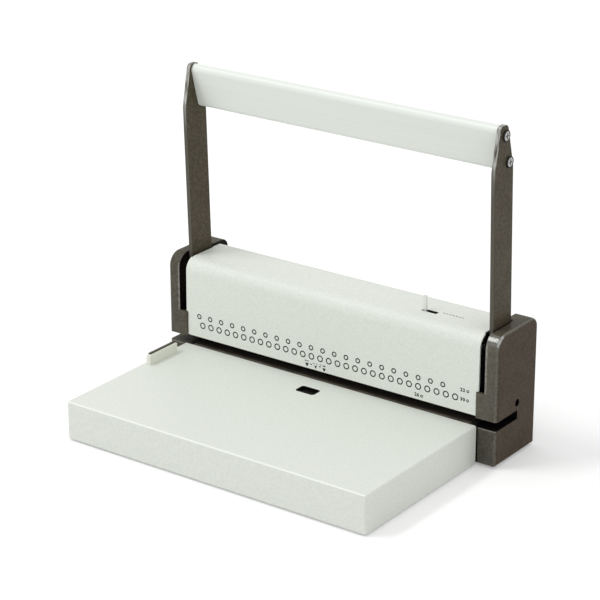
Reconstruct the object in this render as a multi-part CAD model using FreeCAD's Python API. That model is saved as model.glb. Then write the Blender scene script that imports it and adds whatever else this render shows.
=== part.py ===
import FreeCAD, Part
import math
import os

# Lever-operated multi-hole paper punch for comb binding.
# Millimetres, +Z up, front of the machine towards -Y, origin on the floor at the middle of the footprint.

# Punch row
punch_count = 30
punch_pitch = 9.5
punch_d = 6.0
punch_head_d = 8.0
punch_head_h = 3.0
row_offset = -1.94          # middle of the row, left of the machine's middle
row_set_back = 26.5         # from the end covers' front to the punch row

# Clearances
slip = 0.3                  # pieces that slide past each other
running = 0.05              # radial, a shaft or post in its bush
punch_play = 0.1            # radial, punches in the stripper and the die
pin_play = 0.1              # radial, lever pins in their slots

# Heights
foot_h = 2.0
base_t = 2.0
table_top_gap = 33.0        # base plate's top to the table's top
die_step = 0.6              # the die's top lies this far under the table's top
die_t = 8.0
throat = 6.0
stripper_t = 6.0
tip_recess = 1.0            # punch tips at rest, above the stripper's underside
stroke = 9.0
beam_rest_gap = 0.6         # beam to stripper at the end of the stroke
beam_t = 12.0
retainer_t = 2.0
cam_start = 16.0            # shaft axis to pad centre at rest
head_top = 119.0
cover_rise = 2.5            # end covers over the head cover
handle_reach = 212.0        # shaft axis to the arms' tips

# Depths
table_depth = 165.8
table_gap = 1.2             # table's back to the end covers' front
cover_depth = 65.0
pivot_set_back = 29.0       # from the end covers' front to the shaft

# Widths, from the punch row outwards
beam_margin = 2.81          # past the outermost punch head
beam_end_gap = 4.5          # beam's end to the side frame
frame_t = 5.0
head_overhang = 2.8         # head cover past the side frame
arm_gap = 1.7
arm_t = 4.0
arm_side_room = 1.0
cover_cap = 12.5            # end cover outside the arm slot
cover_inner_gap = 1.2       # side frame to the lower part of the end cover
table_overhang = 3.0        # table past the side frame
base_edge_gap = 0.5         # base plate inside the table's walls

# Paper table
table_wall = 2.0
table_corner_r = 2.0
table_edge_r = 1.5
window_w = 18.5
window_d = 11.0
window_r = 2.0
window_x = -1.7
window_set_back = 24.5      # window's middle, in front of the end covers
pane_lap = 3.0
pane_t = 1.5
boss_d = 8.0
boss_x_inset = 13.0
boss_front_inset = 18.0
boss_rear_gap = 8.0         # rear bosses in front of the chip drawer
table_screw_l = 14.0
rib_t = 1.5
rib_h = 6.0
rib_count = 4

# Paper guide
guide_t = 4.0
guide_l = 39.0
guide_h = 9.4
guide_edge_r = 0.8
guide_from_punch = 10.75    # its working face to the first punch
guide_set_back = 23.8       # its rear end, in front of the end covers
guide_screw_inset = 9.0
guide_screw_l = 8.0

# Feet
foot_d = 18.0
foot_x = 125.0
foot_inset = 18.0
foot_chamfer = 0.5

# Side frames
frame_top_gap = 7.0         # under the head cover's top
frame_front_gap = 5.0       # upper jaw behind the end covers' front
frame_corner_r = 14.0
frame_edge_r = 2.0
frame_lip_r = 1.0
throat_depth = 41.0         # throat notch, from the end covers' front
base_screw_front = 14.0     # behind the end covers' front
base_screw_back = 12.0      # in front of the side frames' back
base_screw_l = 12.0

# Die, stripper and throat
die_front_gap = 0.5         # in front of the end covers' front
stripper_front = 4.0        # behind the end covers' front
lever_room = 14.0           # die's back to the side frames' back
spacer_w = 8.2
spacer_l = 10.0
spacer_screw_front = 2.6    # behind the spacer's front
spacer_screw_end = 2.0      # screw's tip over the die's underside
die_screw_rise = 2.4        # over the die's underside
die_screw_front = 9.5       # behind the die's front
die_screw_back = 13.0       # in front of the die's back
stripper_screw_back = 3.0   # in front of the stripper's back
stop_margin = 4.5           # punch row to the depth stop's face at rest
stop_travel = 3.0
stop_depth = 5.0
slot_drop = 0.6             # end cover's paper slot, under the die's top
slot_rise = 1.4             # end cover's paper slot, over the stripper's underside
slot_room = 0.5             # end cover's paper slot, behind the stop's last position

# Press beam and its guides
beam_front = 9.5            # in front of the punch row
beam_back_gap = 0.5         # to the lever bracket
post_d = 6.0
post_x = 120.0
post_inset = 6.5            # in front of the beam's back
post_over_beam = 8.0
bush_d = 9.0
spring_pocket_d = 11.5
spring_pocket_h = 6.5
spring_wire = 1.0
spring_mean_d = 8.8
spring_turns = 5
retainer_w = 17.0
retainer_inset = 1.5
retainer_screw_x = (-135.0, -100.0, -30.0, 0.0, 30.0, 100.0, 135.0)
retainer_screw_inset = 4.0
retainer_screw_l = 9.0

# Shaft, cams and handle
shaft_d = 12.0
shaft_flat = 9.0            # across the flats that drive the arms
shaft_bush_d = 16.0
shaft_flange_d = 20.0
shaft_flange_t = 1.5
spacer_gap = 0.1
handle_travel = math.radians(85)
handle_lean = 2.0           # degrees forward at rest
cam_x = 62.0
cam_w = 10.0
cam_hub_d = 21.0
cam_gap = 0.2
cam_lead = 0.2              # radians of cam face before and after the working stretch
pad_r = 5.0
pad_w = 16.0
pad_foot_w = 12.0
pad_foot_t = 1.5
cam_pin_d = 3.0
cam_pin_end = 0.5           # pin's ends inside the hub
arm_w = 28.5
arm_taper = 38.0
arm_tip_w = 11.0
arm_tip_r = 5.0
arm_edge_r = 0.6
grip_h = 42.0
grip_w = 10.0
grip_wall = 1.8
grip_tilt = 13.0            # degrees, its lower edge towards the back
grip_drop = 21.8            # arms' tips to the grip's middle, along the grip
grip_shift = -0.6           # across the grip, off the arms' middle line
grip_boss_d = 8.0
grip_screw_d = 4.0
grip_screw_l = 14.0
grip_screw_head_d = 9.6
grip_screw_head_h = 1.4
grip_screw_half = 12.5      # each screw from the grip's middle
recess_w = 1.3
recess_l = 5.4
recess_d = 1.0
full_round = 0.999          # share of the half width that a round end takes

# End covers
cover_wall = 3.0
cover_front_r = 13.0
cover_back_r = 9.0
cover_base_r = 1.5
cover_edge_r = 3.0
cover_arm_room = 1.5        # slot behind the arm at rest
cover_slot_floor = 6.25     # slot's floor under the arm's lower edge when pulled down
cover_head_gap = 0.5
channel_wall = 1.5
access_d = 7.0
access_set_back = 34.0      # behind the end covers' front
access_rise = 7.2           # over the paper slot
access_depth = 15.5         # from the outer face to the seat of the screw's head
cover_boss_d = 11.0
inner_boss_d = 8.0
inner_boss_back = 12.0      # in front of the end covers' back
inner_boss_drop = 12.0      # under the side frames' top
cover_screw_reach = 2.0     # past the side frame's inner face
inner_screw_l = 15.0

# Head cover
sheet_t = 1.5
head_front_set = 1.0        # behind the end covers' front
head_slope = 1.0            # front face leans back by this much at the top
head_back_gap = 3.5         # in front of the end covers' back
head_r = 12.0
head_lip_rise = 2.8         # front lower edge over the stripper's underside
head_side_gap = 0.2         # to the end covers' lower part
head_back_lip = 1.0         # over the drawer's face
head_screw_low = 5.0        # under the arm slots' floor
head_screw_high = 25.0      # over the arm slots' floor
head_screw_l = 9.5

# Margin lever
tab_w = 3.0
tab_h = 14.0
tab_x = 87.3
tab_lead = 5.0              # in front of the handle's pivot
tab_offset = 1.8            # to the right of the lever's middle
tab_slot_w = 4.0
tab_slot_room = 0.8
lever_t = 1.5
lever_travel = 10.0
lever_run_drop = 7.5        # the lever's level run under the head cover's top
lever_run_w = 12.0
lever_plate_rim = 2.0
lever_plate_h = 30.0
lever_pin_d = 4.0
lever_pin_pitch = 24.0
lever_pin_rise = 17.7       # over the bracket's lower edge
bracket_rise = 1.0          # over the stripper's underside
bracket_end = 4.0           # screw to the bracket's end
bracket_screw_gap = 8.2     # lever's plate to a bracket screw
bracket_screw_l = 5.0
bracket_r = 2.0
bracket_h = 28.5
bracket_t = 1.5
lever_foot_rise = 2.1       # lever's foot over the stripper's underside
lever_foot_l = 6.0
drive_pin_gap = 2.2         # lever's plate to the drive pin
drive_pin_lift = 1.0        # drive pin's tip over the die
tongue_side = 9.0           # tongue past the drive pin's slot
tongue_t = 4.4
tongue_rim = 2.0

# Chip drawer
drawer_wall = 1.8
drawer_top_gap = 0.9        # under the die
drawer_r = 3.0
drawer_l = 99.5
drawer_face_t = 3.5
drawer_face_drop = 1.2      # face below the drawer's floor
drawer_face_h = 35.2
drawer_face_r = 1.5
drawer_side_gap = 3.5       # to the side frames
pull_w = 66.0
pull_h = 14.4
pull_depth = 14.0
pull_rise = 6.2
pull_r = 5.0
rail_t = 2.0
rail_h = 8.0
rail_l = 90.0
rail_back = 1.0             # in front of the side frames' back

# Screws and tie rods
screw_d = 3.0
screw_head_d = 5.6
screw_head_h = 2.2
frame_screw_l = 15.0
small_screw_d = 2.5
small_screw_head_d = 5.0
csk_head_d = 5.8
csk_head_h = 1.5
big_screw_d = 4.0
big_screw_head_d = 6.4
big_screw_head_h = 2.4
arm_screw_d = 6.0
arm_screw_l = 16.0
arm_screw_head_d = 13.0
arm_screw_head_h = 4.0
tie_d = 8.0
tie_front_in = 11.0         # behind the end covers' front
tie_front_drop = 13.0       # under the head cover's top
tie_back_in = 41.0
tie_back_drop = 16.0

# Derived heights
floor_z = foot_h
base_top = floor_z + base_t
table_top = base_top + table_top_gap
die_top = table_top - die_step
die_bottom = die_top - die_t
stripper_bottom = die_top + throat
stripper_top = stripper_bottom + stripper_t
tip_z = stripper_bottom + tip_recess
beam_bottom = stripper_top + stroke + beam_rest_gap
beam_top = beam_bottom + beam_t
retainer_top = beam_top + retainer_t
pivot_z = retainer_top + cam_start
slot_low = die_top - slot_drop
slot_high = stripper_bottom + slot_rise
arm_slot_floor = pivot_z - arm_w / 2 - cover_slot_floor
cover_top = head_top + cover_rise
frame_top = head_top - frame_top_gap
access_z = slot_high + access_rise
inner_boss_z = frame_top - inner_boss_drop
die_screw_z = die_bottom + die_screw_rise
spring_top = beam_bottom + spring_pocket_h

# Derived depths
cover_back = (table_depth + table_gap + cover_depth) / 2
cover_front = cover_back - cover_depth
table_back = cover_front - table_gap
table_front = table_back - table_depth
punch_y = cover_front + row_set_back
pivot_y = cover_front + pivot_set_back
head_back = cover_back - head_back_gap
frame_back = head_back - sheet_t
die_y0 = cover_front - die_front_gap
die_y1 = frame_back - lever_room
stop_y = punch_y + stop_margin
slot_back = stop_y + stop_travel + slot_room
spacer_y = die_y1 - spacer_l
beam_y0 = punch_y - beam_front
beam_y1 = die_y1 - beam_back_gap
post_y = beam_y1 - post_inset
lever_y = die_y1 + bracket_t + slip
drive_pin_y = lever_y + lever_t + drive_pin_gap
drawer_back = frame_back + slip
drawer_front = drawer_back - drawer_l

# Derived widths
row_half = (punch_count - 1) * punch_pitch / 2
first_punch_x = row_offset - row_half
punch_xs = [first_punch_x + index * punch_pitch for index in range(punch_count)]
beam_half = row_half + abs(row_offset) + punch_head_d / 2 + beam_margin
frame_in = beam_half + beam_end_gap
frame_out = frame_in + frame_t
head_half = frame_out + head_overhang
arm_in = head_half + arm_gap
arm_out = arm_in + arm_t
cover_rim = arm_out + arm_side_room
cover_out = cover_rim + cover_cap
cover_in = frame_out + cover_inner_gap
table_half = frame_out + table_overhang
base_half = table_half - table_wall - base_edge_gap
guide_x = first_punch_x - guide_from_punch
bosses = [(side * (table_half - boss_x_inset), y)
          for side in (-1, 1)
          for y in (table_front + boss_front_inset, drawer_front - boss_rear_gap)]
frame_edge_x = (frame_in + frame_out) / 2
tie_spots = [(cover_front + tie_front_in, head_top - tie_front_drop),
             (cover_front + tie_back_in, head_top - tie_back_drop)]

lever_x = tab_x + tab_w / 2 - tab_offset
tab_y = pivot_y - tab_lead
lever_mid_x = lever_x + lever_travel / 2
lever_plate_w = lever_pin_pitch + lever_pin_d + 2 * lever_plate_rim
bracket_screw_half = (lever_plate_w + lever_travel) / 2 + bracket_screw_gap
lever_pins = [(lever_x + side * lever_pin_pitch / 2, stripper_bottom + bracket_rise + lever_pin_rise)
              for side in (-1, 1)]
drawer_half = frame_in - drawer_side_gap
drawer_floor = base_top + slip
drawer_h = die_bottom - drawer_top_gap - drawer_floor

X_AXIS = FreeCAD.Vector(1, 0, 0)
Y_AXIS = FreeCAD.Vector(0, 1, 0)
Z_AXIS = FreeCAD.Vector(0, 0, 1)


# Shape helpers

def box(x0, x1, y0, y1, z0, z1):
    return Part.makeBox(x1 - x0, y1 - y0, z1 - z0, FreeCAD.Vector(x0, y0, z0))


def rod(start, axis, length, d):
    return Part.makeCylinder(d / 2, length, FreeCAD.Vector(*start), axis)


def in_yz(x):
    # Places outline points (y, z) in the plane at x.
    return lambda p: FreeCAD.Vector(x, p.x, p.y)


def in_xy(z):
    # Places outline points (x, y) in the plane at z.
    return lambda p: FreeCAD.Vector(p.x, p.y, z)


def in_xz(y):
    # Places outline points (x, z) in the plane at y.
    return lambda p: FreeCAD.Vector(p.x, y, p.y)


def rounded_face(corners, place):
    # Face inside corners (u, v, radius), each corner rounded by a tangent arc.
    turns = []
    for index, (u, v, radius) in enumerate(corners):
        corner = FreeCAD.Vector(u, v, 0)
        back = FreeCAD.Vector(*corners[index - 1][:2], 0) - corner
        ahead = FreeCAD.Vector(*corners[(index + 1) % len(corners)][:2], 0) - corner
        back.normalize()
        ahead.normalize()
        half = back.getAngle(ahead) / 2
        reach = radius / math.tan(half)
        middle = (back + ahead).normalize()
        crown = corner + middle * (radius / math.sin(half) - radius)
        turns.append((corner + back * reach, crown, corner + ahead * reach))
    edges = []
    for index, (start, crown, end) in enumerate(turns):
        following = turns[(index + 1) % len(turns)][0]
        if corners[index][2] > 0:
            edges.append(Part.Arc(place(start), place(crown), place(end)).toShape())
        if end.distanceToPoint(following) > 1e-6:
            edges.append(Part.makeLine(place(end), place(following)))
    return Part.Face(Part.Wire(edges))


def rectangle(u0, u1, v0, v1, r=0.0):
    return [(u0, v0, r), (u1, v0, r), (u1, v1, r), (u0, v1, r)]


def slab_x(corners, x0, x1):
    return rounded_face(corners, in_yz(x0)).extrude(X_AXIS * (x1 - x0))


def slab_z(corners, z0, z1):
    return rounded_face(corners, in_xy(z0)).extrude(Z_AXIS * (z1 - z0))


def slab_y(corners, y0, y1):
    return rounded_face(corners, in_xz(y0)).extrude(Y_AXIS * (y1 - y0))


def slot_z(start, end, d, z0, z1):
    # Upright slot with round ends between two points (x, y).
    run = FreeCAD.Vector(end[0] - start[0], end[1] - start[1], 0)
    across = FreeCAD.Vector(-run.y, run.x, 0).normalize() * (d / 2)
    along = FreeCAD.Vector(run).normalize() * (d / 2)
    a = FreeCAD.Vector(start[0], start[1], z0)
    b = a + run
    edges = [Part.makeLine(a + across, b + across),
             Part.Arc(b + across, b + along, b - across).toShape(),
             Part.makeLine(b - across, a - across),
             Part.Arc(a - across, a - along, a + across).toShape()]
    return Part.Face(Part.Wire(edges)).extrude(Z_AXIS * (z1 - z0))


def mirrored(shape):
    return shape.mirror(FreeCAD.Vector(0, 0, 0), X_AXIS)


def pan_screw(seat, axis, d, length, head_d, head_h):
    # Head stands on its seat; the shank runs along the axis.
    start = FreeCAD.Vector(*seat)
    head = Part.makeCylinder(head_d / 2, head_h, start - axis * head_h, axis)
    return head.fuse(Part.makeCylinder(d / 2, length, start, axis)).removeSplitter()


def csk_screw(face, axis, d, length):
    # Countersunk screw whose flat head is flush with the face.
    start = FreeCAD.Vector(*face)
    head = Part.makeCone(csk_head_d / 2, d / 2, csk_head_h, start, axis)
    return head.fuse(Part.makeCylinder(d / 2, length, start, axis)).removeSplitter()


def edges_on(shape, test):
    return [edge for edge in shape.Edges if all(test(vertex.Point) for vertex in edge.Vertexes)]


# Base, feet and table

def base_plate():
    front = table_front + table_wall + base_edge_gap
    plate = box(-base_half, base_half, front, frame_back, floor_z, base_top)
    return plate.cut(base_fasteners() + table_fasteners())


def base_fasteners():
    ys = (cover_front + base_screw_front, frame_back - base_screw_back)
    return [csk_screw((side * frame_edge_x, y, floor_z), Z_AXIS, screw_d, base_screw_l)
            for side in (-1, 1) for y in ys]


def table_fasteners():
    return [csk_screw((x, y, floor_z), Z_AXIS, screw_d, table_screw_l) for x, y in bosses]


def rubber_feet():
    feet = []
    for x in (-foot_x, foot_x):
        for y in (table_front + foot_inset, cover_back - foot_inset):
            foot = rod((x, y, 0), Z_AXIS, foot_h, foot_d)
            feet.append(foot.makeChamfer(foot_chamfer, edges_on(foot, lambda p: p.z < foot_h / 2)))
    return feet


def paper_table():
    outer = box(-table_half, table_half, table_front, table_back, floor_z, table_top)
    uprights = edges_on(outer, lambda p: p.y < table_front + 1)
    uprights = [edge for edge in uprights if abs(edge.tangentAt(edge.FirstParameter).z) > 0.5]
    outer = outer.makeFillet(table_corner_r, uprights)
    rim = edges_on(outer, lambda p: p.z > table_top - 1e-3)
    rim = [edge for edge in rim if edge.BoundBox.YMin < table_back - 1]
    outer = outer.makeFillet(table_edge_r, rim)
    under = table_top - table_wall
    hollow = box(-table_half + table_wall, table_half - table_wall,
                 table_front + table_wall, table_back + 1, floor_z - 1, under)
    table = outer.cut(hollow)
    posts = [rod((x, y, base_top), Z_AXIS, under - base_top, boss_d) for x, y in bosses]
    rib_y0 = table_front + table_wall
    rib_y1 = drawer_front - boss_rear_gap
    pitch = 2 * table_half / (rib_count + 1)
    ribs = [box(-table_half + pitch * (index + 1) - rib_t / 2, -table_half + pitch * (index + 1) + rib_t / 2,
                rib_y0, rib_y1, under - rib_h, under) for index in range(rib_count)]
    table = table.fuse(posts + ribs).removeSplitter()
    window = slab_z(window_corners(0.0, window_r), under - 1, table_top + 1)
    return table.cut([window] + table_fasteners() + guide_fasteners())


def window_corners(lap, r):
    y = cover_front - window_set_back
    return rectangle(window_x - window_w / 2 - lap, window_x + window_w / 2 + lap,
                     y - window_d / 2 - lap, y + window_d / 2 + lap, r)


def sight_pane():
    under = table_top - table_wall
    return slab_z(window_corners(pane_lap, window_r), under - pane_t, under)


def guide_fasteners():
    under = table_top - table_wall
    rear = cover_front - guide_set_back
    ys = (rear - guide_screw_inset, rear - guide_l + guide_screw_inset)
    x = guide_x - guide_t / 2
    return [pan_screw((x, y, under), Z_AXIS, small_screw_d, guide_screw_l, small_screw_head_d, screw_head_h)
            for y in ys]


def paper_guide():
    rear = cover_front - guide_set_back
    bar = box(guide_x - guide_t, guide_x, rear - guide_l, rear, table_top, table_top + guide_h)
    rim = edges_on(bar, lambda p: p.z > table_top + 1)
    return bar.makeFillet(guide_edge_r, rim).cut(guide_fasteners())


# Frame, die and stripper

def side_frame_right():
    corners = [(die_y0, base_top, frame_edge_r),
               (frame_back, base_top, frame_edge_r),
               (frame_back, frame_top, frame_corner_r),
               (cover_front + frame_front_gap, frame_top, frame_corner_r),
               (cover_front + frame_front_gap, stripper_bottom, frame_edge_r),
               (cover_front + throat_depth, stripper_bottom, frame_edge_r),
               (cover_front + throat_depth, die_top, frame_edge_r),
               (die_y0, die_top, frame_lip_r)]
    plate = slab_x(corners, frame_in, frame_out)
    bore = rod((frame_in - 1, pivot_y, pivot_z), X_AXIS, frame_t + 2, shaft_bush_d)
    fasteners = frame_fasteners() + cover_fasteners() + head_fasteners() + base_fasteners()
    return plate.cut([bore] + fasteners)


def frame_fasteners():
    spots = [(die_y0 + die_screw_front, die_screw_z), (die_y1 - die_screw_back, die_screw_z),
             (die_y1 - stripper_screw_back, (stripper_bottom + stripper_top) / 2)] + tie_spots
    right = [pan_screw((frame_out, y, z), -X_AXIS, screw_d, frame_screw_l, screw_head_d, screw_head_h)
             for y, z in spots]
    return right + [mirrored(screw) for screw in right]


def tie_rods():
    rods = [rod((-frame_in, y, z), X_AXIS, 2 * frame_in, tie_d) for y, z in tie_spots]
    return [bar.cut(frame_fasteners()) for bar in rods]


def punch_holes(z0, z1, d):
    return [rod((x, punch_y, z0), Z_AXIS, z1 - z0, d) for x in punch_xs]


def die_plate():
    plate = box(-frame_in, frame_in, die_y0, die_y1, die_bottom, die_top)
    holes = punch_holes(die_bottom - 1, die_top + 1, punch_d + 2 * punch_play)
    return plate.cut(holes + frame_fasteners() + stripper_fasteners())


def stripper_plate():
    y0 = cover_front + stripper_front
    lead = stripper_t / 2
    corners = [(y0 + lead, stripper_bottom, 0), (die_y1, stripper_bottom, 0), (die_y1, stripper_top, 0),
               (y0, stripper_top, 0), (y0, stripper_bottom + lead / 2, 0)]
    plate = slab_x(corners, -frame_in, frame_in)
    holes = punch_holes(stripper_bottom - 1, stripper_top + 1, punch_d + 2 * punch_play)
    return plate.cut(holes + guide_posts() + frame_fasteners() + stripper_fasteners() + bracket_fasteners())


def throat_spacers():
    block = box(frame_in - spacer_w, frame_in, spacer_y, die_y1, die_top, stripper_bottom)
    return [piece.cut(stripper_fasteners()) for piece in (block, mirrored(block))]


def stripper_fasteners():
    x = frame_in - spacer_w / 2
    y = spacer_y + spacer_screw_front
    length = stripper_top - die_bottom - spacer_screw_end
    return [csk_screw((side * x, y, stripper_top), -Z_AXIS, screw_d, length) for side in (-1, 1)]


def guide_posts():
    length = beam_top + post_over_beam - stripper_bottom
    return [rod((x, post_y, stripper_bottom), Z_AXIS, length, post_d) for x in (-post_x, post_x)]


# Return springs

def biarc(p0, t0, p1, t1):
    # Two arcs that leave p0 along t0 and reach p1 along t1, meeting tangent at a shared point.
    v = p1 - p0
    t = t0 + t1
    a = 2 * (1 - t0.dot(t1))
    b = 2 * v.dot(t)
    d = (-b + math.sqrt(b * b + 4 * a * v.dot(v))) / (2 * a)
    q0 = p0 + t0 * d
    q1 = p1 - t1 * d
    joint = (q0 + q1) * 0.5
    return [arc_along(p0, t0, joint), arc_along(p1, -t1, joint)]


def arc_along(p, t, q):
    # Arc from p, leaving along t, to q.
    chord = q - p
    side = chord - t * chord.dot(t)
    side.normalize()
    r = chord.dot(chord) / (2 * chord.dot(side))
    centre = p + side * r
    middle = (p + q) * 0.5 - centre
    return Part.Arc(p, centre + middle.normalize() * r, q)


def helix_state(x, y, z, r, pitch, turn):
    angle = 2 * math.pi * turn
    point = FreeCAD.Vector(x + r * math.cos(angle), y + r * math.sin(angle), z + pitch * turn)
    rise = pitch / (2 * math.pi)
    return point, FreeCAD.Vector(-r * math.sin(angle), r * math.cos(angle), rise).normalize()


def return_spring(x):
    low = stripper_top + spring_wire / 2 + running
    high = spring_top - spring_wire / 2 - slip
    pitch = (high - low) / spring_turns
    edges = []
    for quarter in range(4 * spring_turns):
        p0, t0 = helix_state(x, post_y, low, spring_mean_d / 2, pitch, quarter / 4)
        p1, t1 = helix_state(x, post_y, low, spring_mean_d / 2, pitch, (quarter + 1) / 4)
        first, second = biarc(p0, t0, p1, t1)
        edges += [first.toShape(), second.toShape()]
    path = Part.Wire(Part.__sortEdges__(edges))
    start, tangent = helix_state(x, post_y, low, spring_mean_d / 2, pitch, 0)
    ring = Part.Wire([Part.makeCircle(spring_wire / 2, start, tangent)])
    if x > 0:
        print("return spring: gap between turns", round(pitch - spring_wire, 3))
    return path.makePipeShell([ring], True, False)


def return_springs():
    return [return_spring(x) for x in (-post_x, post_x)]


# Press beam with its punches

def press_beam():
    beam = box(-beam_half, beam_half, beam_y0, beam_y1, beam_bottom, beam_top)
    shanks = punch_holes(beam_bottom - 1, beam_top + 1, punch_d)
    heads = punch_holes(beam_top - punch_head_h, beam_top + 1, punch_head_d)
    pockets = []
    for x in (-post_x, post_x):
        pockets.append(rod((x, post_y, beam_bottom - 1), Z_AXIS, spring_pocket_h + 1, spring_pocket_d))
        pockets.append(rod((x, post_y, spring_top - 1), Z_AXIS, beam_t + 2, bush_d))
    return beam.cut(shanks).cut(heads).cut(pockets + retainer_fasteners())


def beam_bushes():
    bushes = []
    for x in (-post_x, post_x):
        sleeve = rod((x, post_y, spring_top), Z_AXIS, beam_top - spring_top, bush_d)
        bushes.append(sleeve.cut(rod((x, post_y, spring_top - 1), Z_AXIS, beam_t + 2, post_d + 2 * running)))
    return bushes


def punch_pins():
    pins = []
    for x in punch_xs:
        shank = rod((x, punch_y, tip_z), Z_AXIS, beam_top - tip_z, punch_d)
        head = rod((x, punch_y, beam_top - punch_head_h), Z_AXIS, punch_head_h, punch_head_d)
        pins.append(shank.fuse(head).removeSplitter())
    return pins


def punch_retainer():
    y0 = beam_y0 + retainer_inset
    half = beam_half - retainer_inset
    strip = box(-half, half, y0, y0 + retainer_w, beam_top, retainer_top)
    return strip.cut(retainer_fasteners())


def retainer_fasteners():
    y = beam_y0 + retainer_screw_inset
    return [pan_screw((x, y, retainer_top), -Z_AXIS, screw_d, retainer_screw_l, screw_head_d, screw_head_h)
            for x in retainer_screw_x]


def cam_pads():
    pads = []
    for x in (-cam_x, cam_x):
        crown = rod((x - pad_w / 2, pivot_y, retainer_top), X_AXIS, pad_w, 2 * pad_r)
        keep = box(x - pad_w, x + pad_w, pivot_y - pad_foot_w, pivot_y + pad_foot_w,
                   retainer_top, retainer_top + 2 * pad_r)
        foot = box(x - pad_w / 2, x + pad_w / 2, pivot_y - pad_foot_w / 2, pivot_y + pad_foot_w / 2,
                   retainer_top, retainer_top + pad_foot_t)
        pads.append(crown.common(keep).fuse(foot).removeSplitter())
    return pads


# Shaft, cams and handle

def flats(x0, x1):
    # Shaft end with two flats.
    end = rod((x0, pivot_y, pivot_z), X_AXIS, x1 - x0, shaft_d)
    keep = box(x0 - 1, x1 + 1, pivot_y - shaft_d, pivot_y + shaft_d,
               pivot_z - shaft_flat / 2, pivot_z + shaft_flat / 2)
    return end.common(keep)


def pivot_shaft():
    bar = rod((-arm_in, pivot_y, pivot_z), X_AXIS, 2 * arm_in, shaft_d)
    bar = bar.fuse([flats(arm_in, arm_out), flats(-arm_out, -arm_in)]).removeSplitter()
    return bar.cut(arm_fasteners() + cam_pins())


def shaft_bushes():
    sleeve = rod((frame_in, pivot_y, pivot_z), X_AXIS, frame_t, shaft_bush_d)
    flange = rod((frame_out, pivot_y, pivot_z), X_AXIS, shaft_flange_t, shaft_flange_d)
    bore = rod((frame_in - 1, pivot_y, pivot_z), X_AXIS, frame_t + shaft_flange_t + 2, shaft_d + 2 * running)
    bush = sleeve.fuse(flange).cut(bore)
    return [bush, mirrored(bush)]


def arm_spacers():
    x0 = frame_out + shaft_flange_t + spacer_gap
    ring = rod((x0, pivot_y, pivot_z), X_AXIS, arm_in - x0, shaft_flange_d)
    ring = ring.cut(rod((x0 - 1, pivot_y, pivot_z), X_AXIS, arm_in - x0 + 2, shaft_d))
    return [ring, mirrored(ring)]


def arm_fasteners():
    right = pan_screw((arm_out, pivot_y, pivot_z), -X_AXIS, arm_screw_d, arm_screw_l,
                      arm_screw_head_d, arm_screw_head_h)
    return [right, mirrored(right)]


def cam_point(turn):
    # Point of the cam face that meets the pad after the handle has turned by this angle:
    # the pad's centre recedes evenly, and the face lies a pad radius and a gap inside that spiral.
    rate = stroke / handle_travel
    reach = cam_start + rate * turn
    radial = FreeCAD.Vector(0, -math.sin(turn), -math.cos(turn))
    ahead = FreeCAD.Vector(0, -math.cos(turn), math.sin(turn))
    tangent = radial * rate + ahead * reach
    inward = FreeCAD.Vector(0, -tangent.z, tangent.y).normalize()
    if inward.dot(radial) > 0:
        inward = -inward
    return radial * reach + inward * (pad_r + cam_gap)


def cam(x):
    first = -cam_lead
    last = handle_travel + cam_lead
    steps = 12
    points = [cam_point(first + (last - first) * index / steps) for index in range(steps + 1)]
    face_curve = Part.BSplineCurve()
    face_curve.interpolate(points)
    axis_point = FreeCAD.Vector(0, 0, 0)
    outline = Part.Wire([face_curve.toShape(), Part.makeLine(points[-1], axis_point),
                         Part.makeLine(axis_point, points[0])])
    lobe = Part.Face(outline).extrude(X_AXIS * cam_w)
    hub = Part.makeCylinder(cam_hub_d / 2, cam_w, axis_point, X_AXIS)
    body = lobe.fuse(hub).removeSplitter()
    body.translate(FreeCAD.Vector(x - cam_w / 2, pivot_y, pivot_z))
    bore = rod((x - cam_w, pivot_y, pivot_z), X_AXIS, 2 * cam_w, shaft_d)
    return body.cut([bore] + cam_pins())


def cam_pins():
    # Spring pins square to the flats' direction, through hub and shaft.
    direction = FreeCAD.Vector(0, 1, 1).normalize()
    half = cam_hub_d / 2 - cam_pin_end
    pins = []
    for x in (-cam_x, cam_x):
        start = FreeCAD.Vector(x, pivot_y, pivot_z) - direction * half
        pins.append(Part.makeCylinder(cam_pin_d / 2, 2 * half, start, direction))
    return pins


def lean(shape):
    # Tips a handle piece forward about the shaft to its rest position.
    return shape.rotate(FreeCAD.Vector(0, pivot_y, pivot_z), X_AXIS, handle_lean)


def arm_right():
    tip_z_up = pivot_z + handle_reach
    shoulder = tip_z_up - arm_taper
    half = arm_w / 2
    corners = [(pivot_y - half, pivot_z - half, half),
               (pivot_y + half, pivot_z - half, half),
               (pivot_y + half, shoulder, arm_taper / 2),
               (pivot_y + arm_tip_w / 2, tip_z_up, arm_tip_r),
               (pivot_y - arm_tip_w / 2, tip_z_up, arm_tip_r),
               (pivot_y - half, shoulder, arm_taper / 2)]
    bar = slab_x(corners, arm_in, arm_out)
    bar = bar.makeFillet(arm_edge_r, edges_on(bar, lambda p: p.x > arm_out - 1e-3))
    screws = [screw for screw in grip_fasteners_upright() if screw.BoundBox.XMin > 0]
    bar = bar.cut(screws)
    bar = lean(bar)
    return bar.cut(flats(arm_in - 1, arm_out + 1))


def grip_frame(along, across):
    # Point (y, z) on the grip's section, along it from its middle and across it towards the back.
    tilt = math.radians(grip_tilt)
    g = grip_drop + along
    n = grip_shift + across
    y = pivot_y + g * math.sin(tilt) + n * math.cos(tilt)
    z = pivot_z + handle_reach - g * math.cos(tilt) + n * math.sin(tilt)
    return y, z


def oval(half_l, half_w):
    return [grip_frame(along, across) + (half_w * full_round,)
            for along, across in ((-half_l, -half_w), (half_l, -half_w), (half_l, half_w), (-half_l, half_w))]


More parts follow.
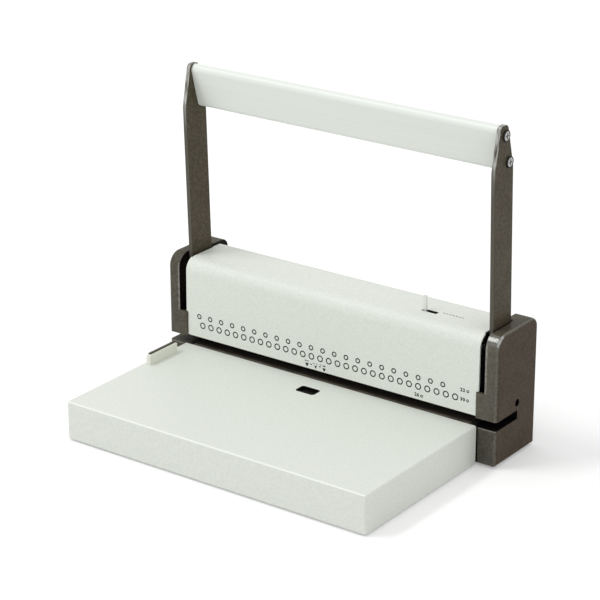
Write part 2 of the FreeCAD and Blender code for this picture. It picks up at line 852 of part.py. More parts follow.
def grip():
    outer = slab_x(oval(grip_h / 2, grip_w / 2), -arm_in, arm_in)
    core = slab_x(oval(grip_h / 2 - grip_wall, grip_w / 2 - grip_wall), -arm_in - 1, arm_in + 1)
    bosses_in_grip = []
    for along in (-grip_screw_half, grip_screw_half):
        y, z = grip_frame(along, 0)
        bosses_in_grip.append(rod((-arm_in - 1, y, z), X_AXIS, 2 * arm_in + 2, grip_boss_d))
    bar = outer.cut(core.cut(bosses_in_grip))
    return lean(bar.cut(grip_fasteners_upright()))


def grip_fasteners_upright():
    screws = []
    for along in (-grip_screw_half, grip_screw_half):
        y, z = grip_frame(along, 0)
        right = pan_screw((arm_out, y, z), -X_AXIS, grip_screw_d, arm_t + grip_screw_l,
                          grip_screw_head_d, grip_screw_head_h)
        crown = arm_out + grip_screw_head_h
        right = right.makeFillet(grip_screw_head_h * 0.6, edges_on(right, lambda p: p.x > crown - 1e-3))
        right = right.cut(cross_recess(crown, y, z))
        screws += [right, mirrored(right)]
    return screws


def cross_recess(x, y, z):
    # Cross-shaped recess in a screw head that faces +X.
    half_sizes = ((recess_l / 2, recess_w / 2), (recess_w / 2, recess_l / 2))
    return [box(x - recess_d, x + 1, y - half_y, y + half_y, z - half_z, z + half_z)
            for half_y, half_z in half_sizes]


def grip_screws():
    return [lean(screw) for screw in grip_fasteners_upright()]


# Covers

def cover_corners(inset):
    return [(cover_front + inset, floor_z + inset, max(cover_base_r - inset, 0)),
            (cover_back - inset, floor_z + inset, max(cover_base_r - inset, 0)),
            (cover_back - inset, cover_top - inset, cover_back_r - inset),
            (cover_front + inset, cover_top - inset, cover_front_r - inset)]


def end_cover_right():
    shell = slab_x(cover_corners(0), cover_in, cover_out)
    outline = edges_on(shell, lambda p: p.x > cover_out - 1e-3)
    shell = shell.makeFillet(cover_edge_r, [edge for edge in outline if edge.BoundBox.ZMax > floor_z + 1e-3])
    shell = shell.cut(slab_x(cover_corners(cover_wall), cover_in - 1, cover_out - cover_wall))
    arm_shift = (cover_top - pivot_z) * math.tan(math.radians(handle_lean))
    arm_rear = pivot_y + arm_w / 2 + cover_arm_room - arm_shift
    head_room = box(cover_in - 1, head_half + cover_head_gap, cover_front - 1, cover_back + 1,
                    arm_slot_floor, cover_top + 1)
    arm_slot = box(cover_in - 1, cover_rim, cover_front - 1, arm_rear, arm_slot_floor, cover_top + 1)
    shell = shell.cut([head_room, arm_slot])
    channel = box(cover_in, cover_out - cover_wall / 2,
                  cover_front + cover_wall / 2, slot_back + channel_wall,
                  slot_low - channel_wall, slot_high + channel_wall)
    access_y = cover_front + access_set_back
    boss_l = cover_out - cover_wall / 2 - frame_out
    access_boss = rod((frame_out, access_y, access_z), X_AXIS, boss_l, cover_boss_d)
    inner_boss = rod((frame_out, cover_back - inner_boss_back, inner_boss_z), X_AXIS, boss_l, inner_boss_d)
    shell = shell.fuse([channel, access_boss, inner_boss]).removeSplitter()
    paper_slot = box(frame_out - 1, cover_out + 1, cover_front - 1, slot_back, slot_low, slot_high)
    access = rod((cover_out - access_depth, access_y, access_z), X_AXIS, access_depth + 1, access_d)
    return shell.cut([paper_slot, access] + cover_fasteners())


def cover_fasteners():
    seat = cover_out - access_depth
    outer = pan_screw((seat, cover_front + access_set_back, access_z), -X_AXIS,
                      big_screw_d, seat - frame_in + cover_screw_reach, big_screw_head_d, big_screw_head_h)
    inner = pan_screw((frame_in, cover_back - inner_boss_back, inner_boss_z), X_AXIS,
                      big_screw_d, inner_screw_l, big_screw_head_d, big_screw_head_h)
    right = [outer, inner]
    return right + [mirrored(screw) for screw in right]


def head_corners(inset):
    bottom = stripper_bottom + head_lip_rise
    back_bottom = drawer_floor - drawer_face_drop + drawer_face_h + head_back_lip
    front = cover_front + head_front_set + inset
    return [(front, bottom, 0),
            (front + head_slope, head_top - inset, head_r - inset),
            (head_back - inset, head_top - inset, head_r - inset),
            (head_back - inset, back_bottom, 0)]


def head_cover():
    skin = slab_x(head_corners(0), -head_half, head_half)
    core = head_corners(sheet_t)
    low = floor_z
    core[0] = (core[0][0], low, 0)
    core[3] = (core[3][0], low, 0)
    skin = skin.cut(slab_x(core, -head_half - 1, head_half + 1))
    notches = []
    half = cover_in - head_side_gap
    for side in (-1, 1):
        x0, x1 = sorted((side * half, side * (head_half + 1)))
        notches.append(box(x0, x1, cover_front - 1, pivot_y, low, arm_slot_floor + slip))
    slot_x0 = tab_x - tab_slot_room
    slot_x1 = tab_x + tab_w + lever_travel + tab_slot_room
    lever_slot = slab_z(rectangle(slot_x0, slot_x1, tab_y - tab_slot_w / 2, tab_y + tab_slot_w / 2, 1.0),
                        head_top - 2 * sheet_t, head_top + 1)
    return skin.cut(notches + [lever_slot] + head_fasteners())


def head_fasteners():
    zs = (arm_slot_floor - head_screw_low, arm_slot_floor + head_screw_high)
    return [pan_screw((side * frame_edge_x, head_back, z), -Y_AXIS, small_screw_d, head_screw_l,
                      small_screw_head_d, screw_head_h) for side in (-1, 1) for z in zs]


# Margin lever, bracket and depth stop

def bracket_fasteners():
    z = (stripper_bottom + stripper_top) / 2
    return [pan_screw((lever_mid_x + side * bracket_screw_half, die_y1 + bracket_t, z), -Y_AXIS,
                      screw_d, bracket_screw_l, screw_head_d, screw_head_h) for side in (-1, 1)]


def lever_bracket():
    half = bracket_screw_half + bracket_end
    low = stripper_bottom + bracket_rise
    plate = slab_y(rectangle(lever_mid_x - half, lever_mid_x + half, low, low + bracket_h, bracket_r),
                   die_y1, die_y1 + bracket_t)
    r = lever_pin_d / 2 + pin_play
    slots = [slab_y(rectangle(x - r, x + lever_travel + r, z - r, z + r, r * full_round),
                    die_y1 - 1, die_y1 + bracket_t + 1) for x, z in lever_pins]
    return plate.cut(slots + bracket_fasteners())


def margin_lever():
    foot_z = stripper_bottom + lever_foot_rise
    run_z = head_top - lever_run_drop
    x0 = lever_x - lever_run_w / 2
    x1 = lever_x + lever_run_w / 2
    tab = slab_y(rectangle(tab_x, tab_x + tab_w, run_z - lever_t, head_top + tab_h, lever_t / 2),
                 tab_y - lever_t / 2, tab_y + lever_t / 2)
    run = box(x0, x1, tab_y - lever_t / 2, lever_y + lever_t, run_z - lever_t, run_z)
    web = box(x0, x1, lever_y, lever_y + lever_t, foot_z, run_z)
    plate = slab_y(rectangle(lever_x - lever_plate_w / 2, lever_x + lever_plate_w / 2,
                             foot_z, foot_z + lever_plate_h, bracket_r), lever_y, lever_y + lever_t)
    foot = box(x0, x1, lever_y, lever_y + lever_t + lever_foot_l, foot_z, foot_z + lever_t)
    pins = [rod((x, die_y1, z), Y_AXIS, lever_y - die_y1 + lever_t, lever_pin_d) for x, z in lever_pins]
    drive_low = die_top + drive_pin_lift
    drive = rod((lever_x, drive_pin_y, drive_low), Z_AXIS, foot_z + lever_t - drive_low, lever_pin_d)
    return tab.fuse([run, web, plate, foot, drive] + pins).removeSplitter()


def depth_stop():
    half = frame_in - spacer_w - slip
    z0 = die_top + slip
    bar = box(-half, half, stop_y, stop_y + stop_depth, z0, stripper_bottom - slip)
    r = lever_pin_d / 2 + pin_play
    tongue_half = lever_travel / 2 + r + tongue_side
    tongue = box(lever_mid_x - tongue_half, lever_mid_x + tongue_half, stop_y + stop_depth / 2,
                 drive_pin_y + r + tongue_rim, z0 + slip, z0 + tongue_t)
    start = (lever_x, drive_pin_y)
    end = (lever_x + lever_travel, drive_pin_y - stop_travel)
    cam_slot = slot_z(start, end, 2 * r, z0 - 1, z0 + tongue_t + 1)
    return bar.fuse(tongue).removeSplitter().cut(cam_slot)


# Chip drawer

def chip_drawer():
    top = drawer_floor + drawer_h
    outline = rectangle(-drawer_half, drawer_half, drawer_front, drawer_back, drawer_r)
    tray = slab_z(outline, drawer_floor, top)
    hollow = slab_z(rectangle(-drawer_half + drawer_wall, drawer_half - drawer_wall,
                              drawer_front + drawer_wall, drawer_back - drawer_wall, drawer_r - drawer_wall),
                    drawer_floor + drawer_wall, top + 1)
    face_low = drawer_floor - drawer_face_drop
    face_half = frame_out - slip
    face = slab_y(rectangle(-face_half, face_half, face_low, face_low + drawer_face_h, drawer_face_r),
                  drawer_back, drawer_back + drawer_face_t)
    pull_half = pull_w / 2
    pocket = box(-pull_half - drawer_wall, pull_half + drawer_wall,
                 drawer_back - pull_depth - drawer_wall, drawer_back, drawer_floor, top)
    pull_low = drawer_floor + pull_rise
    reach = slab_y(rectangle(-pull_half, pull_half, pull_low, pull_low + pull_h, pull_r),
                   drawer_back - pull_depth, drawer_back + drawer_face_t + 1)
    return tray.cut(hollow).fuse([pocket, face]).removeSplitter().cut(reach)


def drawer_rails():
    x0 = drawer_half + slip
    y1 = frame_back - rail_back
    rail = box(x0, x0 + rail_t, y1 - rail_l, y1, base_top, base_top + rail_h)
    return [rail, mirrored(rail)]


# Nodes

nodes = {
    "base_plate": [base_plate()],
    "rubber_feet": rubber_feet(),
    "base_screws": base_fasteners(),
    "table_screws": table_fasteners(),
    "paper_table": [paper_table()],
    "sight_pane": [sight_pane()],
    "paper_guide": [paper_guide()],
    "guide_screws": guide_fasteners(),
    "side_frame_left": [mirrored(side_frame_right())],
    "side_frame_right": [side_frame_right()],
    "tie_rods": tie_rods(),
    "frame_screws": frame_fasteners(),
    "die_plate": [die_plate()],
    "stripper_plate": [stripper_plate()],
    "throat_spacers": throat_spacers(),
    "stripper_screws": stripper_fasteners(),
    "guide_posts": guide_posts(),
    "return_springs": return_springs(),
    "shaft_bushes": shaft_bushes(),
    "end_cover_left": [mirrored(end_cover_right())],
    "end_cover_right": [end_cover_right()],
    "end_cover_screws": cover_fasteners(),
    "head_cover": [head_cover()],
    "head_cover_screws": head_fasteners(),
    "lever_bracket": [lever_bracket()],
    "bracket_screws": bracket_fasteners(),
    "drawer_rails": drawer_rails(),
    "pivot_shaft": [pivot_shaft()],
    "arm_left": [mirrored(arm_right())],
    "arm_right": [arm_right()],
    "arm_spacers": arm_spacers(),
    "arm_screws": arm_fasteners(),
    "cam_left": [cam(-cam_x)],
    "cam_right": [cam(cam_x)],
    "cam_pins": cam_pins(),
    "grip": [grip()],
    "grip_screws": grip_screws(),
    "press_beam": [press_beam()],
    "beam_bushes": beam_bushes(),
    "punch_pins": punch_pins(),
    "punch_retainer": [punch_retainer()],
    "retainer_screws": retainer_fasteners(),
    "cam_pads": cam_pads(),
    "margin_lever": [margin_lever()],
    "depth_stop": [depth_stop()],
    "chip_drawer": [chip_drawer()],
}

os.makedirs("parts", exist_ok=True)
for name, solids in nodes.items():
    shape = solids[0] if len(solids) == 1 else Part.makeCompound(solids)
    shape.exportStep("parts/" + name + ".step")
print(len(nodes), "nodes,", sum(len(solids) for solids in nodes.values()), "solids")
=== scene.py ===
import math

import bpy
import numpy as np
from mathutils import Matrix, Vector


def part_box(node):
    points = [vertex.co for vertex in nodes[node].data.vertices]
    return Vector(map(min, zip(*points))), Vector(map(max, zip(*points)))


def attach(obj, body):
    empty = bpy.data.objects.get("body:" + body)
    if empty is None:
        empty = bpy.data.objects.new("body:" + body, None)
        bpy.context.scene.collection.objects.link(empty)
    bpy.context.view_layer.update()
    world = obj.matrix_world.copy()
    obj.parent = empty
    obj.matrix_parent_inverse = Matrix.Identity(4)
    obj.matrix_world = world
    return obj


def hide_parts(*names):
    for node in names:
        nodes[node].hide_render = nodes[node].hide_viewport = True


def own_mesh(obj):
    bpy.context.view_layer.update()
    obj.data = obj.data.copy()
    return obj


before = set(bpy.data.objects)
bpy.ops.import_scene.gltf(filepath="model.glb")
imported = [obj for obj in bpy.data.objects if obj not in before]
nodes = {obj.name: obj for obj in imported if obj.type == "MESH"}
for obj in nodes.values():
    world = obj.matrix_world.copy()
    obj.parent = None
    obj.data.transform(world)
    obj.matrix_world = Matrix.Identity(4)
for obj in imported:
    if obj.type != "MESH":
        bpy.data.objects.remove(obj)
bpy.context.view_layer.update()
print("frame loaded,", len(nodes), "nodes")


# camera

cameraView = {
    "focalPixels": 2311.46,
    "imagePixels": 600,
    "sensorWidth": 36.0,
    "azimuth": 36.182,
    "elevation": 21.509,
    "roll": -0.132,
    "distance": 1.982516,
    "target": (0.009361, 0.0, 0.134011),
    "clipEnd": 50.0,
}


def placeCamera(view):
    # The camera stands at target + distance * back, where back comes from azimuth and elevation.
    azimuth, elevation, roll = (math.radians(view[k]) for k in ("azimuth", "elevation", "roll"))
    back = Vector((math.sin(azimuth) * math.cos(elevation),
                   -math.cos(azimuth) * math.cos(elevation),
                   math.sin(elevation)))
    right = Vector((0, 0, 1)).cross(back).normalized()
    up = back.cross(right)
    tiltedRight = right * math.cos(roll) + up * math.sin(roll)
    tiltedUp = up * math.cos(roll) - right * math.sin(roll)
    data = bpy.data.cameras.new("photoCamera")
    data.sensor_width = view["sensorWidth"]
    data.lens = view["focalPixels"] / view["imagePixels"] * view["sensorWidth"]
    data.clip_end = view["clipEnd"]
    camera = bpy.data.objects.new("photoCamera", data)
    turn = Matrix((tiltedRight, tiltedUp, back)).transposed().to_4x4()
    camera.matrix_world = Matrix.Translation(Vector(view["target"]) + back * view["distance"]) @ turn
    bpy.context.scene.collection.objects.link(camera)
    bpy.context.scene.camera = camera


placeCamera(cameraView)
print("camera placed")


# shader helpers

class Value:
    # A node's output. Plain operators on it add Math nodes: < and > give masks of 0 and 1, and | joins masks.
    def __init__(self, graph, socket):
        self.graph = graph
        self.socket = socket

    def math(self, operation, *terms):
        return self.graph.node("ShaderNodeMath", {"operation": operation}, dict(enumerate(terms)))

    def near(self, middle, half):
        return self.math("COMPARE", self, middle, half)

    def __add__(self, other):
        return self.math("ADD", self, other)

    def __sub__(self, other):
        return self.math("SUBTRACT", self, other)

    def __rsub__(self, other):
        return self.math("SUBTRACT", other, self)

    def __mul__(self, other):
        return self.math("MULTIPLY", self, other)

    def __abs__(self):
        return self.math("ABSOLUTE", self)

    def __lt__(self, other):
        return self.math("LESS_THAN", self, other)

    def __gt__(self, other):
        return self.math("GREATER_THAN", self, other)

    def __or__(self, other):
        return self.math("MAXIMUM", self, other)

    __radd__ = __add__
    __rmul__ = __mul__
    __ror__ = __or__


class Graph:
    # A node tree, with one method that adds any node: its kind, its settings, then what its sockets get.
    def __init__(self, owner):
        owner.use_nodes = True
        self.tree = owner.node_tree
        self.tree.nodes.clear()

    def node(self, kind, settings, inputs, output=0):
        made = self.tree.nodes.new(kind)
        for key, value in settings.items():
            if key == "stops":
                ramp = made.color_ramp.elements
                while len(ramp) < len(value):
                    ramp.new(0.5)
                for stop, (position, level) in zip(ramp, value):
                    stop.position = position
                    stop.color = (level, level, level, 1)
            else:
                setattr(made, key, value)
        for key, value in inputs.items():
            self.feed(made.inputs[key], value)
        return Value(self, made.outputs[output]) if made.outputs else made

    def feed(self, socket, value):
        if isinstance(value, Value):
            self.tree.links.new(value.socket, socket)
        elif socket.type == "RGBA":
            socket.default_value = (*value, 1)
        else:
            socket.default_value = value

    def seenRay(self):
        # 1 for a ray from the camera, off a glossy face or through glass, 0 for the rest.
        kinds = ("Is Camera Ray", "Is Glossy Ray", "Is Transmission Ray")
        direct, mirrored, through = (self.node("ShaderNodeLightPath", {}, {}, kind) for kind in kinds)
        return direct + mirrored + through


class Finish(Graph):
    # One material: a Principled surface, with patterns on Object coordinates.
    def __init__(self, name):
        self.material = bpy.data.materials.new(name)
        super().__init__(self.material)
        self.surface = self.node("ShaderNodeBsdfPrincipled", {}, {})
        self.node("ShaderNodeOutputMaterial", {}, {"Surface": self.surface})
        self.place = self.node("ShaderNodeTexCoord", {}, {}, "Object")
        self.normal = self.node("ShaderNodeNewGeometry", {}, {}, "Normal")

    def set(self, **inputs):
        for key, value in inputs.items():
            self.feed(self.surface.socket.node.inputs[key.replace("_", " ")], value)

    def part(self, axis, vector):
        return self.node("ShaderNodeSeparateXYZ", {}, {"Vector": vector}, axis)

    def noise(self, scale, detail=2.0, where=None, fine=0.5):
        return self.node("ShaderNodeTexNoise", {}, {"Vector": where or self.place, "Scale": scale,
                                                    "Detail": detail, "Roughness": fine})

    def drawn(self, stretch, detail=3.0):
        # Noise pulled out into streaks: its place is multiplied by the stretch first.
        where = self.node("ShaderNodeMapping", {}, {"Vector": self.place, "Scale": stretch})
        return self.noise(1.0, detail, where)

    def speckle(self, scale, stops, detail=4.0, fine=0.70):
        # Hard-edged grains: a rough noise, cut between two levels.
        return self.ramp(self.noise(scale, detail, fine=fine), stops)

    def ramp(self, value, stops):
        return self.node("ShaderNodeValToRGB", {"stops": stops}, {"Fac": value})

    def uneven(self, pattern, middle, spread):
        # A level that swings round its middle with a pattern, by the spread from end to end.
        return pattern * spread + (middle - spread / 2)

    def mixed(self, factor, first, second):
        return self.node("ShaderNodeMix", {"data_type": "RGBA"}, {0: factor, 6: first, 7: second}, 2)

    def bump(self, height, distance):
        return self.node("ShaderNodeBump", {}, {"Height": height, "Distance": distance})


def dress(finish, *names):
    for name in names:
        mesh = nodes[name].data
        mesh.materials.clear()
        mesh.materials.append(finish.material)


# finishes

whitePaint = {
    "colour": (0.779, 0.809, 0.749),
    "mottleColour": (0.724, 0.754, 0.694),
    "mottleScale": 460.0,
    "mottleStops": ((0.40, 0.0), (0.62, 1.0)),
    "mottleFine": 0.65,
    "grainScale": 1500.0,
    "grainDepth": 0.00005,
    # Painted light: the pale edge colour is a painted highlight, and the black below is painted shade.
    "edgeHighlightColour": (0.890, 0.915, 0.860),
    "edgeRange": (0.0350, 0.0372),
    "edgeStops": ((0.25, 0.0), (0.45, 1.0), (0.90, 1.0), (0.98, 0.0)),
    "frontStops": ((0.15, 0.0), (0.30, 1.0)),
    "paintedShadeColour": (0.010, 0.010, 0.010),
    "leverSlotMiddle": (0.0938, 0.0750),
    "leverSlotHalf": (0.0077, 0.0024),
    "armLine": 0.0011,
    "armMiddle": 0.0770,
    "armHalf": 0.0158,
    "topFrom": 0.1100,
    "roughness": 0.48,
    "roughnessSpread": 0.10,
}


def makeWhitePaint(name, s):
    # Powder paint: fine pebbled grain, faint mottle, a pale painted highlight on the table's front edge, and black
    # painted shade in the lever's slot and in a line on the head's ends beside the arms.
    f = Finish(name)
    x, y, z = (f.part(axis, f.place) for axis in "XYZ")
    mottle = f.speckle(s["mottleScale"], s["mottleStops"], fine=s["mottleFine"])
    grain = f.noise(s["grainScale"])
    low, high = s["edgeRange"]
    rounded = f.ramp(f.part("Z", f.normal), s["edgeStops"])
    forward = f.ramp(0 - f.part("Y", f.normal), s["frontStops"])
    # Painted highlight: a pale line on the table's rounded top front edge.
    onEdgeHighlight = z.near((low + high) / 2, (high - low) / 2) * rounded * forward
    # Painted shade: black on the rim of the lever's slot and in a thin line on the head's ends beside the arms,
    # for the shade in those gaps.
    (slotX, slotY), (halfX, halfY) = s["leverSlotMiddle"], s["leverSlotHalf"]
    inSlot = x.near(slotX, halfX) * y.near(slotY, halfY)
    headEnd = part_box("head_cover")[1].x
    atArm = (abs(x) > headEnd - s["armLine"]) * y.near(s["armMiddle"], s["armHalf"])
    inPaintedShade = (z > s["topFrom"]) * (inSlot | atArm)
    painted = f.mixed(onEdgeHighlight, f.mixed(mottle, s["colour"], s["mottleColour"]), s["edgeHighlightColour"])
    f.set(Base_Color=f.mixed(inPaintedShade, painted, s["paintedShadeColour"]),
          Roughness=f.uneven(grain, s["roughness"], s["roughnessSpread"]),
          Normal=f.bump(grain, s["grainDepth"]))
    return f


darkPlastic = {
    "colour": (0.106, 0.095, 0.068),
    # Painted light: the side colour is a darker painted shade; the edge, lip, crown and corner colours are painted
    # highlights; the black further down is painted shade.
    "sideShadeColour": (0.093, 0.066, 0.045),
    "edgeHighlightColour": (0.170, 0.156, 0.124),
    "lipHighlightColour": (0.300, 0.290, 0.260),
    "crownHighlightColour": (0.205, 0.200, 0.178),
    "cornerHighlightColour": (0.620, 0.620, 0.590),
    "speckColour": (0.030, 0.025, 0.016),
    "paintedShadeColour": (0.006, 0.005, 0.005),
    "sideStops": ((0.30, 0.0), (0.95, 1.0)),
    "edgeStops": ((0.12, 0.0), (0.40, 1.0), (0.80, 1.0), (0.97, 0.0)),
    "topStops": ((0.90, 0.0), (0.995, 1.0)),
    "crownStops": ((0.20, 0.0), (0.45, 1.0), (0.80, 1.0), (0.96, 0.0)),
    "frontStops": ((0.10, 0.0), (0.30, 1.0)),
    "cloudScale": 45.0,
    "speckScale": 520.0,
    "speckStops": ((0.43, 0.0), (0.57, 1.0)),
    "speckShare": 0.42,
    "lowShade": 0.25,
    "slotMiddle": 0.03975,
    "slotHalf": 0.00410,
    "slotBack": 0.0856,
    "holeMiddle": (0.0850, 0.0510),
    "holeRadius": 0.0036,
    "holeRim": 0.1776,
    "lipMiddle": 0.0352,
    "lipHalf": 0.0005,
    "lipBack": 0.0520,
    "joinLine": 0.0009,
    "armSlotWall": 0.1664,
    "armSlotFloor": 0.0678,
    "armFootEdge": 0.1669,
    "armFootMiddle": 0.0770,
    "armFootHalf": 0.0158,
    "rimWidth": 0.0009,
    "grainScale": 1300.0,
    "grainDepth": 0.000006,
    "roughness": 0.40,
    "cloudSpread": 0.10,
    "grainSpread": 0.06,
    "specular": 0.06,
    "gloss": 1.0,
    "leftGloss": 0.40,
    "topDulling": 0.95,
    "glossRoughness": 0.15,
}


def makeDarkPlastic(name, s):
    # Moulded plastic: speckled grain, dull flat sides, painted highlights on its edges, lip, rims and crown, a
    # darker painted shade on its sides and low front, and black painted shade in its slots, holes and gaps.
    f = Finish(name)
    x, y, z = (f.part(axis, f.place) for axis in "XYZ")
    away, across, rise = abs(x), abs(f.part("X", f.normal)), f.part("Z", f.normal)
    cloud = f.noise(s["cloudScale"], 3.0)
    speck = f.speckle(s["speckScale"], s["speckStops"])
    grain = f.noise(s["grainScale"], 1.0)

    # which way the surface faces
    # Painted shade: the side faces take a darker colour than the front and top, whose paler colour stands in for
    # their sheen.
    side = f.ramp(across, s["sideStops"])
    edge = f.ramp(across, s["edgeStops"])
    flatTop = f.ramp(rise, s["topStops"])
    crown = f.ramp(rise, s["crownStops"]) * f.ramp(0 - f.part("Y", f.normal), s["frontStops"])

    # where it lies
    atRight, atFront = x > 0, y < s["lipBack"]
    above, below = z > s["armSlotFloor"], z < s["lipMiddle"] + s["lipHalf"]
    # Black painted shade: inside the paper slot, the side hole and the arm slots, in a line beside the table's
    # sides, and along the arms' feet on the cover tops, where these gaps and recesses lie in shade.
    inPaperSlot = z.near(s["slotMiddle"], s["slotHalf"]) * (y < s["slotBack"]) * atRight
    offY, offZ = y - s["holeMiddle"][0], z - s["holeMiddle"][1]
    inHole = (offY * offY + offZ * offZ < s["holeRadius"] ** 2) * (away < s["holeRim"])
    inArmSlot = above * (away < s["armSlotWall"]) * side
    atTable = below * (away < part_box("paper_table")[1].x + s["joinLine"]) * atFront
    atArm = above * (away < s["armFootEdge"]) * y.near(s["armFootMiddle"], s["armFootHalf"]) * flatTop
    inPaintedShade = inPaperSlot | inHole | inArmSlot | atTable | atArm
    # Painted highlights: pale lines on the lower lip's edge and on the arm slots' front rims.
    onRim = above * (away < s["armSlotWall"] + s["rimWidth"])
    onLip = (z.near(s["lipMiddle"], s["lipHalf"]) | onRim) * atFront
    crown = crown * above * atRight

    # Painted highlights: paler rounded edges, a pale lip line, and on the right cover's front-top rounding a
    # highlight with a bright corner spot.
    tone = f.mixed(edge, f.mixed(side, s["colour"], s["sideShadeColour"]), s["edgeHighlightColour"])
    tone = f.mixed(onLip, tone, s["lipHighlightColour"])
    tone = f.mixed(crown * edge, f.mixed(crown, tone, s["crownHighlightColour"]), s["cornerHighlightColour"])
    shade = below * (1 - side) * (1 - onLip) * s["lowShade"]
    speckled = f.mixed((cloud + speck) * s["speckShare"] + shade, tone, s["speckColour"])
    gloss = atRight * (s["gloss"] - s["leftGloss"]) + s["leftGloss"]
    f.set(Base_Color=f.mixed(inPaintedShade, speckled, s["paintedShadeColour"]),
          Roughness=f.uneven(cloud, s["roughness"], s["cloudSpread"]) + f.uneven(grain, 0, s["grainSpread"]),
          Specular_IOR_Level=s["specular"],
          Coat_Weight=(1 - side) * (1 - flatTop * s["topDulling"]) * (1 - inPaintedShade) * gloss,
          Coat_Roughness=s["glossRoughness"],
          Normal=f.bump(grain, s["grainDepth"]))
    return f


drawerGloss = {"gloss": 0.5, "leftGloss": 0.5}

armPaint = {
    "colour": (0.112, 0.094, 0.062),
    "speckColour": (0.040, 0.032, 0.019),
    # Painted light: the narrow edges' colour is a painted sheen, and the pale colour after it a painted highlight.
    "edgeHighlightColour": (0.105, 0.098, 0.080),
    "tipHighlightColour": (0.520, 0.520, 0.490),
    "cloudScale": 30.0,
    "speckScale": 520.0,
    "speckStops": ((0.43, 0.0), (0.57, 1.0)),
    "speckShare": 0.5,
    "edgeStops": ((0.35, 1.0), (0.85, 0.0)),
    "tipHighlightStops": ((0.240, 0.0), (0.268, 1.0)),
    "streakStretch": (700.0, 420.0, 14.0),
    "streakStops": ((0.36, 0.0), (0.64, 1.0)),
    "peelScale": 420.0,
    "peelDepth": 0.000012,
    "roughness": 0.34,
    "roughnessSpread": 0.10,
    "specular": 0.08,
}


def makeArmPaint(name, s):
    # Stoved paint on flat steel bar: orange-peel waves, its narrow edges painted paler as a sheen, with a streaky
    # painted highlight on them near the hand.
    f = Finish(name)
    cloud = f.noise(s["cloudScale"], 3.0)
    speck = f.speckle(s["speckScale"], s["speckStops"])
    peel = f.noise(s["peelScale"], 1.0)
    edge = f.ramp(abs(f.part("X", f.normal)), s["edgeStops"])
    streak = f.ramp(f.drawn(s["streakStretch"], 2.0), s["streakStops"])
    # Painted highlight: bright streaks on the narrow edges near the top, by the hand.
    tipHighlight = f.ramp(f.part("Z", f.place), s["tipHighlightStops"]) * streak
    flat = f.mixed((cloud + speck) * s["speckShare"], s["colour"], s["speckColour"])
    f.set(Base_Color=f.mixed(edge, flat, f.mixed(tipHighlight, s["edgeHighlightColour"], s["tipHighlightColour"])),
          Roughness=f.uneven(cloud, s["roughness"], s["roughnessSpread"]),
          Specular_IOR_Level=s["specular"],
          Normal=f.bump(peel, s["peelDepth"]))
    return f


gripCoat = {
    "colour": (0.820, 0.850, 0.805),
    "streakColour": (0.795, 0.825, 0.780),
    "streakStretch": (6.0, 700.0, 700.0),
    "streakStops": ((0.40, 0.0), (0.75, 1.0)),
    "streakDepth": 0.00002,
    "roughness": 0.40,
    "roughnessSpread": 0.16,
}


def makeGripCoat(name, s):
    # Drawn bar under white lacquer: faint streaks that run along X.
    f = Finish(name)
    streak = f.drawn(s["streakStretch"])
    f.set(Base_Color=f.mixed(f.ramp(streak, s["streakStops"]), s["colour"], s["streakColour"]),
          Roughness=f.uneven(streak, s["roughness"], s["roughnessSpread"]),
          Normal=f.bump(streak, s["streakDepth"]))
    return f


metals = {
    "zinc": {"colour": (0.52, 0.53, 0.54), "dull": (0.40, 0.41, 0.41), "roughness": 0.34,
             "stretch": (90, 90, 90)},
    "toolSteel": {"colour": (0.115, 0.098, 0.080), "dull": (0.070, 0.060, 0.050), "roughness": 0.42,
                  "stretch": (12, 300, 300)},
    "groundSteel": {"colour": (0.60, 0.60, 0.61), "dull": (0.48, 0.48, 0.49), "roughness": 0.22,
                    "stretch": (300, 300, 40)},
    "springWire": {"colour": (0.42, 0.42, 0.43), "dull": (0.28, 0.28, 0.29), "roughness": 0.30,
                   "stretch": (200, 200, 200)},
    "nickelScrew": {"colour": (0.66, 0.67, 0.68), "dull": (0.52, 0.52, 0.53), "roughness": 0.20,
                    "stretch": (500, 500, 500)},
    "gripScrew": {"colour": (0.60, 0.61, 0.59), "dull": (0.30, 0.30, 0.29), "roughness": 0.30,
                  "stretch": (500, 500, 500)},
    "bronze": {"colour": (0.50, 0.33, 0.15), "dull": (0.36, 0.23, 0.11), "roughness": 0.38,
               "stretch": (400, 400, 400)},
}


def makeMetal(name, s, spread=0.16, depth=0.00001):
    # Bare or plated metal: colour and gloss follow a drawn noise.
    f = Finish(name)
    drawn = f.drawn(s["stretch"])
    f.set(Base_Color=f.mixed(drawn, s["colour"], s["dull"]), Metallic=1.0,
          Roughness=f.uneven(drawn, s["roughness"], spread),
          Normal=f.bump(drawn, depth))
    return f


